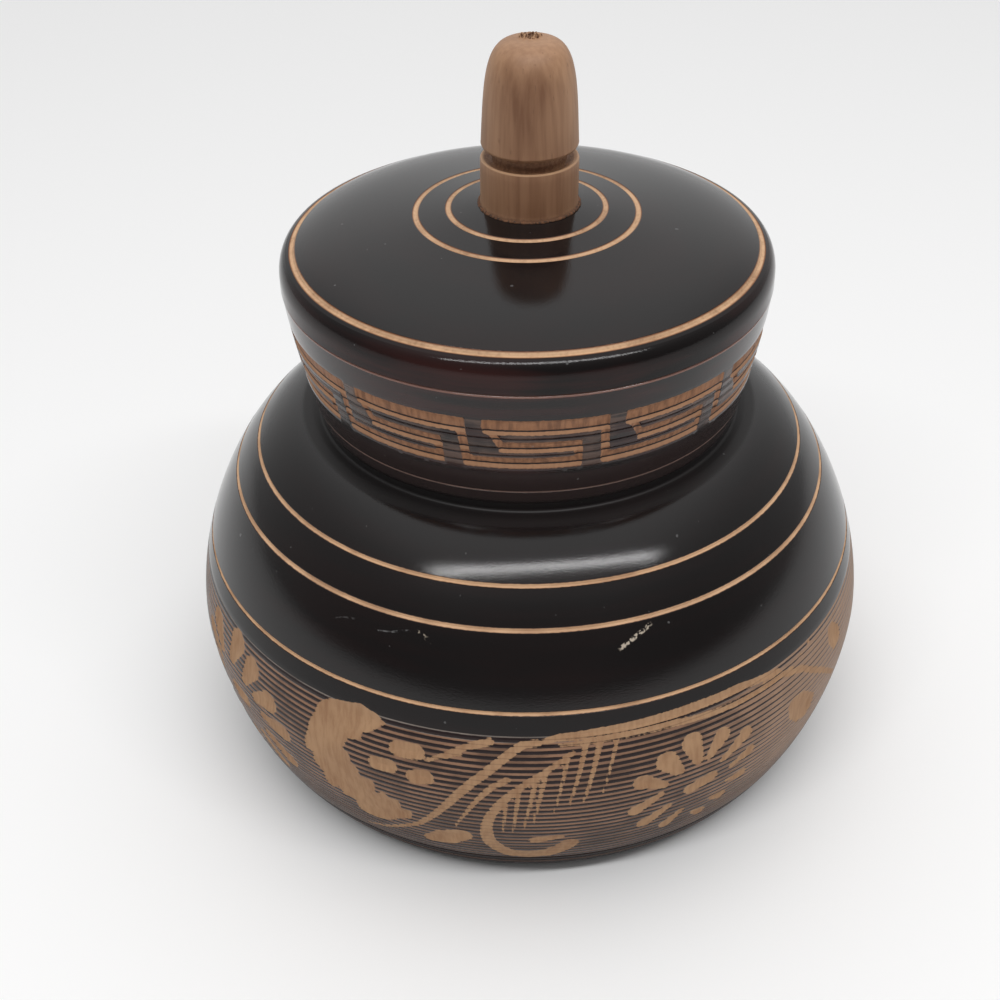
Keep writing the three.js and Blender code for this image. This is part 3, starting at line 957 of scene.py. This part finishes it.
def lacquered_finish(name, ior):
    """Black lacquer with scribed rings, the striped band and its carving, and the fret round the neck."""
    finish = Finish(name, 0.16)
    finish.shader.inputs["IOR"].default_value = ior
    reach = finish.attribute("reach")
    carved = finish.attribute("carved")
    shallow = finish.attribute("shallow")
    scribed = finish.attribute("scribed")
    height = finish.height_of()
    angle = finish.angle_of()

    turning = finish.noise((60, 60, 1600), 2.0)
    fine = finish.noise((1500, 1500, 1500), 2.0)
    broad = finish.noise((150, 150, 150), 2.0)
    fibres = finish.noise((1400, 1400, 160), 3.0)

    in_band = finish.ramp(reach, BLACK_FOOT - 0.2, BLACK_FOOT + 0.1) * (
        1 - finish.ramp(reach, BAND_TOP, BAND_TOP + 0.1))
    wander = STRIPE_PITCH / 2 + (turning - 0.5) * 0.2
    phase = finish.calculate("FRACT", (reach - BAND_FOOT + wander) / STRIPE_PITCH)
    from_line = finish.calculate("ABSOLUTE", phase - 0.5)
    worn = finish.ramp(angle, 16, 52) * (1 - finish.ramp(angle, 110, 165))
    top_line = finish.ramp(reach, BAND_TOP - 1.3, BAND_TOP - 1.1)
    line = 1 - finish.ramp(from_line + (fine - 0.5) * 0.1 - worn * 0.2 + top_line * 0.08, 0.16, 0.26)
    patchy = finish.ramp(broad + turning * 0.6, 0.55, 0.95)
    strength = 0.5 + 0.5 * finish.calculate("MAXIMUM", patchy, worn * 0.85)
    strength = strength * (0.55 + finish.ramp(reach, 21, 33) * 0.45)
    dark_line = finish.ramp(from_line + (fine - 0.5) * 0.1, 0.38, 0.44)

    edge = carved + (fine - 0.5) * 0.35 + dark_line * in_band * 0.2
    wood = 1 - finish.ramp(edge, -0.08, 0.06)
    on_neck = finish.ramp(reach, 96, 97)

    grain = finish.ramp(fibres, 0.35, 0.7)
    blotch = finish.ramp(broad, 0.35, 0.75)
    wood_colour = finish.blend(grain * 0.4 + blotch * 0.3, CARVED_WOOD, CARVED_DARK)
    strip = 0.0
    for place in FRET_BAR_LINES:
        below = 1 - finish.ramp(height, place - 0.2, place)
        strip = strip + finish.ramp(height, place - 1.0, place - 0.85) * below
    fret_colour = finish.blend(grain * 0.8, FRET_WOOD, FRET_DARK)
    fret_colour = finish.blend(strip * 0.7, fret_colour, FRET_PALE)
    wood_colour = finish.blend(on_neck, wood_colour, fret_colour)

    lacquer = lacquer_colour(finish, on_neck * finish.ramp(height, 74, 79) * 0.7 + 0.08)
    below_fret = on_neck * (1 - finish.ramp(height, 79.5, 81))
    near_foot = 1 - finish.ramp(reach, BLACK_FOOT, BLACK_FOOT + 0.3)
    lacquer = finish.blend(below_fret * 0.9 + near_foot * 0.7, lacquer, NECK_BROWN)
    stripe = finish.blend(top_line * (1 - worn), finish.blend(worn, STRIPE_PALE, STRIPE_FADED), STRIPE_GREY)
    striped = finish.blend(line * strength, STRIPE_DARK, stripe)
    colour = finish.blend(in_band, lacquer, striped)
    in_fret = finish.ramp(height, 81.3, 81.8) * (1 - finish.ramp(height, 91.7, 92.1)) * on_neck
    rubbed = in_fret * finish.ramp(broad + turning * 0.5, 0.6, 0.95)
    colour = finish.blend(rubbed * 0.75, colour, FRET_RECESS)
    crossing = shallow * dark_line * in_band
    wood_share = wood * (1 - crossing * 0.25)
    colour = finish.blend(wood_share, colour, wood_colour)

    fret_line = 0.0
    for place in FRET_LINES:
        away = finish.calculate("ABSOLUTE", height - place)
        fret_line = fret_line + (1 - finish.ramp(away + (fine - 0.5) * 0.12, 0.12, 0.2)) * on_neck
    colour = finish.blend(fret_line, colour, STRIPE_DARK)

    ring = finish.ramp(scribed + (fine - 0.5) * 0.25, 0.08, 0.22)
    ring_colour = finish.blend(finish.ramp(broad, 0.4, 0.7) * 0.35, RING_WOOD, RING_EDGE)
    ring_colour = finish.blend(finish.ramp(scribed + (fine - 0.5) * 0.4, 0.16, 0.36), RING_EDGE, ring_colour)
    ring_colour = finish.blend(on_neck, ring_colour, NECK_RING_WOOD)
    colour = finish.blend(ring * (1 - on_neck * 0.25), colour, ring_colour)
    from_foot_line = finish.calculate("ABSOLUTE", reach - FOOT_LINE)
    foot_line = (1 - finish.ramp(from_foot_line, 0.16, 0.34)) * (1 - on_neck)
    colour = finish.blend(foot_line * 0.8, colour, FOOT_BROWN)
    rim = finish.ramp(height + (fine - 0.5) * 0.1, MOUTH_HEIGHT - 0.5, MOUTH_HEIGHT - 0.42)
    colour = finish.blend(rim * 0.9, colour, RIM_WOOD)

    scratch = mark(finish, angle, reach, (20.2, 71.2), (13.6, 67.8), 1.0, 1.01)
    scratch = scratch * finish.ramp(fine, 0.43, 0.56)
    wavy = reach + (finish.noise((260, 260, 260), 1.0) - 0.5) * 1.8
    blemish = mark(finish, angle, wavy, (-36.0, 68.3), (-31.7, 69.5), 0.4, 1.01) * 0.4
    blemish = blemish + mark(finish, angle, wavy, (-28.0, 68.9), (-21.2, 70.1), 0.4, 1.01)
    fleck = mark(finish, angle, reach, (-20.4, 70.5), (-17.2, 69.0), 0.9, 1.01) * finish.ramp(fine, 0.5, 0.62)
    specks = finish.noise((1000, 1000, 1000), 0.0)
    dust = finish.ramp(specks, 0.87, 0.89) * (1 - in_band)
    colour = finish.blend(scratch * 0.85 + fleck * 0.6, colour, SCRATCH)
    colour = finish.blend(blemish * finish.ramp(fine, 0.4, 0.6) * 0.4 + dust * 0.3, colour, DUST)
    finish.give("Base Color", colour)

    bare = finish.calculate("MAXIMUM", wood_share, ring)
    bare = finish.calculate("MAXIMUM", bare, scratch)
    half_bare = finish.calculate("MAXIMUM", bare, line * in_band * 0.6)
    dusty = finish.ramp(reach, 89.5, 91) * (1 - finish.ramp(reach, 95.5, 96.5))
    finish.give("Roughness", 0.12 + half_bare * 0.5 + in_band * 0.12 + rubbed * 0.25 + dusty * 0.4)
    smooth_parts = lacquer_relief(finish) * (1 - bare)
    cut_parts = (fibres * 0.05 + fine * 0.03) * wood_share
    finish.bump(smooth_parts + cut_parts + fine * in_band * 0.012 + turning * rubbed * 0.03)
    return finish.material


def lid_finish(name, ior):
    """The same lacquer on the lid, with its three scribed rings."""
    finish = Finish(name, 0.12)
    finish.shader.inputs["IOR"].default_value = ior
    scribed = finish.attribute("scribed")
    height = finish.height_of()
    fine = finish.noise((1500, 1500, 1500), 2.0)
    broad = finish.noise((150, 150, 150), 2.0)
    ring = finish.ramp(scribed + (fine - 0.5) * 0.12, 0.05, 0.14)
    ring_colour = finish.blend(finish.ramp(broad, 0.4, 0.7) * 0.4 + finish.ramp(fine, 0.45, 0.7) * 0.3,
                               RING_WOOD, CARVED_DARK)
    ring_colour = finish.blend(finish.ramp(scribed, 0.16, 0.5), RING_EDGE, ring_colour)
    side = 1 - finish.ramp(height, MOUTH_HEIGHT + 3, MOUTH_HEIGHT + 7)
    specks = finish.noise((1000, 1000, 1000), 0.0)
    colour = finish.blend(ring, lacquer_colour(finish, 0.12 + side * 0.68), ring_colour)
    finish.give("Base Color", finish.blend(finish.ramp(specks, 0.87, 0.89) * 0.3, colour, DUST))
    finish.give("Roughness", 0.1 + ring * 0.45)
    finish.bump(lacquer_relief(finish) * (1 - ring) + fine * ring * 0.03)
    return finish.material


def bare_finish():
    """Unvarnished wood of the insides, with its grain along the turning axis."""
    finish = Finish("bare_wood", 0.6)
    fibres = finish.noise((1300, 1300, 60), 3.0)
    broad = finish.noise((90, 90, 40), 2.0)
    rings = finish.noise((20, 20, 1500), 2.0)
    darker = finish.ramp(fibres, 0.3, 0.7) * 0.6 + finish.ramp(broad, 0.4, 0.7) * 0.3
    finish.give("Base Color", finish.blend(darker, KNOB_PALE, KNOB_DARK))
    finish.bump(fibres * 0.05 + rings * 0.02)
    return finish.material


def knob_finish():
    """Unvarnished wood of the knob, rougher in its groove and at its foot, darker at its foot, with painted
    shade in its groove and on its front and a painted highlight on the collar's top edge.
    """
    finish = Finish("knob_wood", 0.55)
    fibres = finish.noise((1100, 1100, 50), 3.0)
    pores = finish.noise((2400, 2400, 260), 1.0)
    broad = finish.noise((110, 110, 50), 2.0)
    fine = finish.noise((2200, 2200, 2200), 2.0)
    height = finish.height_of()
    collar_top = KNOB_SEAT + COLLAR_HEIGHT
    head = collar_top + NECK_GROOVE_HEIGHT
    # Painted shade: the knob's front is made darker, as if in shade, fading out towards its sides and near
    # the top of its head.
    painted_front_shade = 1 - finish.ramp(finish.calculate("ABSOLUTE", finish.angle_of() - 5), 12, 62)
    painted_front_shade = painted_front_shade * (1 - finish.ramp(height, head + 12, head + 18))
    darker = finish.ramp(fibres, 0.3, 0.7) * 0.25 + finish.ramp(broad, 0.35, 0.7) * 0.3 + painted_front_shade * 0.5
    colour = finish.blend(darker, KNOB_PALE, KNOB_DARK)
    pore = finish.ramp(pores, 0.68, 0.76)
    colour = finish.blend(pore * 0.3, colour, PORE)
    radius = finish.radius_of()
    between = finish.ramp(height, collar_top - 0.7, collar_top - 0.5)
    between = between * (1 - finish.ramp(height, head - 0.1, head + 0.2))
    # Painted shade: the groove between the collar and the head is darkened towards the pore colour, with a
    # speckle.
    groove = between * (1 - finish.ramp(radius + (fine - 0.5) * 0.3, 7.7, 8.0))
    colour = finish.blend(groove * (0.15 + finish.ramp(fine, 0.45, 0.6) * 0.4), colour, PORE)
    # Painted highlight: the collar's top edge is lightened to the pale edge colour, as if catching the light.
    rim = finish.ramp(height, collar_top - 0.3, collar_top - 0.14) * (1 - groove) * between
    colour = finish.blend(rim * 0.8, colour, KNOB_EDGE)
    foot = 1 - finish.ramp(height + (fine - 0.5) * 0.8, KNOB_SEAT + 0.3, KNOB_SEAT + 0.9)
    colour = finish.blend(foot * 0.6, colour, PORE)
    finish.give("Base Color", colour)
    finish.bump(fibres * 0.03 + pore * -0.03 + fine * (groove + foot) * 0.05)
    return finish.material


def rough_finish(name, pale, dark):
    """Torn wood and glue: two colours, speckled."""
    finish = Finish(name, 0.8)
    fine = finish.noise((2600, 2600, 1300), 2.0)
    finish.give("Base Color", finish.blend(finish.ramp(fine, 0.42, 0.6), pale, dark))
    finish.bump(fine * 0.1)
    return finish.material


lacquer = lacquered_finish("carved_lacquer", GLOSS_IOR)
band_lacquer = lacquered_finish("striped_lacquer", BAND_IOR)
foot_lacquer = lacquered_finish("foot_lacquer", FOOT_IOR)
lid_lacquer = lid_finish("lid_lacquer", GLOSS_IOR)
lid_edge_lacquer = lid_finish("lid_edge_lacquer", BAND_IOR)
bare_wood = bare_finish()
knob_wood = knob_finish()
torn_wood = rough_finish("torn_wood", KNOB_EDGE, PORE)
glue_dust = rough_finish("glue_dust", KNOB_DARK, GLUE)


def finish_piece(piece, finishes, body, slot, *nodes):
    """Gives a piece its finishes, hangs it on the body it rides on and hides the parts it stands for; the
    slot, what it is made of, is not used.
    """
    for finish in finishes:
        piece.data.materials.append(finish)
    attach(piece, body)
    if nodes:
        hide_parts(*nodes)


finish_piece(make_jar(), [lacquer, bare_wood, band_lacquer, foot_lacquer], "jar", "lacquered_wood",
             "jar_body", "jar_neck")
finish_piece(make_lid(), [lid_lacquer, bare_wood, lid_edge_lacquer], "lid_and_knob", "lacquered_wood", "lid")
finish_piece(make_knob(), [knob_wood], "lid_and_knob", "bare_wood", "knob")
finish_piece(make_torn_fibres(), [torn_wood], "lid_and_knob", "bare_wood")
finish_piece(make_glue_bead(), [glue_dust], "lid_and_knob", "bare_wood")


def make_floor():
    """A wide pale floor under the jar."""
    bpy.ops.object.select_all(action="DESELECT")
    bpy.ops.mesh.primitive_plane_add(size=6, location=(0, 0, 0))
    floor = bpy.context.object
    floor.name = "floor"
    finish = Finish("pale_floor", 0.7)
    finish.give("Base Color", FLOOR)
    floor.data.materials.append(finish.material)


def make_lamp(name, place, aim, width, depth, power):
    """A soft rectangular lamp, turned towards a point."""
    light = bpy.data.lights.new(name, "AREA")
    light.shape = "RECTANGLE"
    light.size = width
    light.size_y = depth
    light.energy = power
    lamp = bpy.data.objects.new(name, light)
    lamp.location = place
    lamp.rotation_euler = (Vector(aim) - Vector(place)).to_track_quat("-Z", "Y").to_euler()
    bpy.context.scene.collection.objects.link(lamp)
    return lamp


def light_room():
    """Plain pale surroundings, darkest low in front, with one long soft lamp above the front."""
    world = bpy.data.worlds.new("studio")
    bpy.context.scene.world = world
    world.use_nodes = True
    nodes = Nodes(world.node_tree)
    towards = nodes.node("ShaderNodeTexCoord", {}, {}).outputs["Generated"]
    parts = nodes.node("ShaderNodeSeparateXYZ", {}, {"Vector": towards})
    behind = Level(nodes, parts.outputs["Y"]) + Level(nodes, parts.outputs["Z"]) * 0.9
    aside = nodes.calculate("ABSOLUTE", Level(nodes, parts.outputs["X"]))
    overhead = 0.86 + nodes.ramp(Level(nodes, parts.outputs["Z"]), 0.5, 0.95) * 0.32
    level = (nodes.ramp(behind, -0.75, 0.9) * 0.8 + 0.14) * (1 - nodes.ramp(aside, 0.3, 1) * 0.5) * overhead
    nodes.fill(world.node_tree.nodes["Background"].inputs["Strength"], level)
    world.node_tree.nodes["Background"].inputs["Color"].default_value = (1, 1, 1, 1)
    make_lamp("front_strip", (0.05, -0.44, 0.82), (0, -0.05, 0.067), 1.16, 0.07, 4.2)


def place_camera():
    """Looks down at the jar from the front."""
    azimuth = math.radians(1.354)
    elevation = math.radians(35.481)
    roll = math.radians(-0.201)
    forward = Vector((math.sin(azimuth) * math.cos(elevation), math.cos(azimuth) * math.cos(elevation),
                      -math.sin(elevation)))
    level = Vector((math.cos(azimuth), -math.sin(azimuth), 0))
    upright = level.cross(forward)
    right = math.cos(roll) * level + math.sin(roll) * upright
    up = math.cos(roll) * upright - math.sin(roll) * level
    data = bpy.data.cameras.new("camera")
    data.sensor_width = 36
    data.lens = 56.064
    data.shift_x = -0.0428
    data.shift_y = -0.0050
    data.clip_start = 0.01
    camera = bpy.data.objects.new("camera", data)
    turned = Matrix((right, up, -forward)).transposed().to_4x4()
    camera.matrix_world = Matrix.Translation(Vector((-3.37, -253.15, 227.08)) * MM) @ turned
    bpy.context.scene.collection.objects.link(camera)
    bpy.context.scene.camera = camera


make_floor()
light_room()
place_camera()

view = bpy.context.scene.view_settings
view.view_transform = "Standard"
